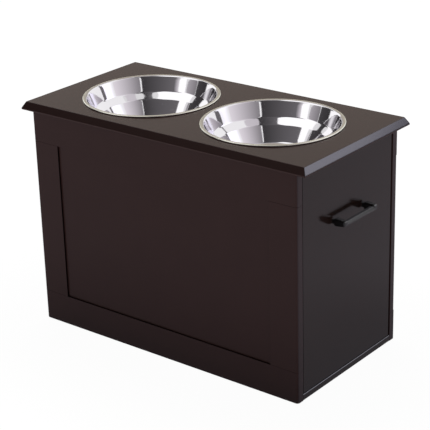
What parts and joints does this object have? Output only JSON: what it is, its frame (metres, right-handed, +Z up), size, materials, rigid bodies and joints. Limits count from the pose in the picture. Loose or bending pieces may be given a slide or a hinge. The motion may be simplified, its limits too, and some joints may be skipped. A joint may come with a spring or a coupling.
{
  "type": "elevated dog feeder with storage",
  "caption": "Raised dog feeder: a panelled wooden storage box with a bevelled, hinged lid that holds stainless food bowls, and a pull handle on each side.",
  "frame": {"origin": "on the floor, at the centre of the box round the whole feeder", "axes": "+X to the right seen from the front, +Y to the back, +Z up"},
  "size_m": [0.608, 0.3, 0.413],
  "materials": {
    "dark_board": "satin dark brown lacquer on fibreboard",
    "black_handle": "satin black",
    "stainless_bowl": "polished stainless steel with fine turned lines",
    "hinge_steel": "nickel plated steel",
    "zinc_plated_steel": "bright zinc plated",
    "cast_zinc": "die-cast zinc, plain",
    "beech_dowel": "plain beech"
  },
  "bodies": {
    "cabinet": {"front_top_rail": "dark_board", "front_bottom_rail": "dark_board", "front_left_stile": "dark_board", "front_right_stile": "dark_board", "front_panel": "dark_board", "rear_top_rail": "dark_board", "rear_bottom_rail": "dark_board", "rear_left_stile": "dark_board", "rear_right_stile": "dark_board", "rear_panel": "dark_board", "left_side_board": "dark_board", "right_side_board": "dark_board", "base_board": "dark_board", "left_handle": "black_handle", "right_handle": "black_handle", "left_handle_screws": "zinc_plated_steel", "right_handle_screws": "zinc_plated_steel", "left_hinge_cabinet_leaf": "hinge_steel", "right_hinge_cabinet_leaf": "hinge_steel", "left_hinge_pin": "hinge_steel", "right_hinge_pin": "hinge_steel", "hinge_cabinet_screws": "zinc_plated_steel", "frame_dowels": "beech_dowel", "side_dowels": "beech_dowel", "cam_bolts": "zinc_plated_steel", "cam_nuts": "cast_zinc", "base_screws": "zinc_plated_steel"},
    "lid": {"lid_board": "dark_board", "left_hinge_lid_leaf": "hinge_steel", "right_hinge_lid_leaf": "hinge_steel", "hinge_lid_screws": "zinc_plated_steel"},
    "left_bowl": {"left_bowl": "stainless_bowl"},
    "right_bowl": {"right_bowl": "stainless_bowl"}
  },
  "joints": [
    {"name": "lid_hinge", "type": "hinge", "parent": "cabinet", "child": "lid", "pos_m": [0, 0.147, 0.396], "axis": [-1, 0, 0], "range_deg": [0, 100]},
    {"name": "left_bowl_lift", "type": "slide", "parent": "lid", "child": "left_bowl", "axis": [0, 0, 1], "range_m": [0, 0.1]},
    {"name": "right_bowl_lift", "type": "slide", "parent": "lid", "child": "right_bowl", "axis": [0, 0, 1], "range_m": [0, 0.1]}
  ]
}
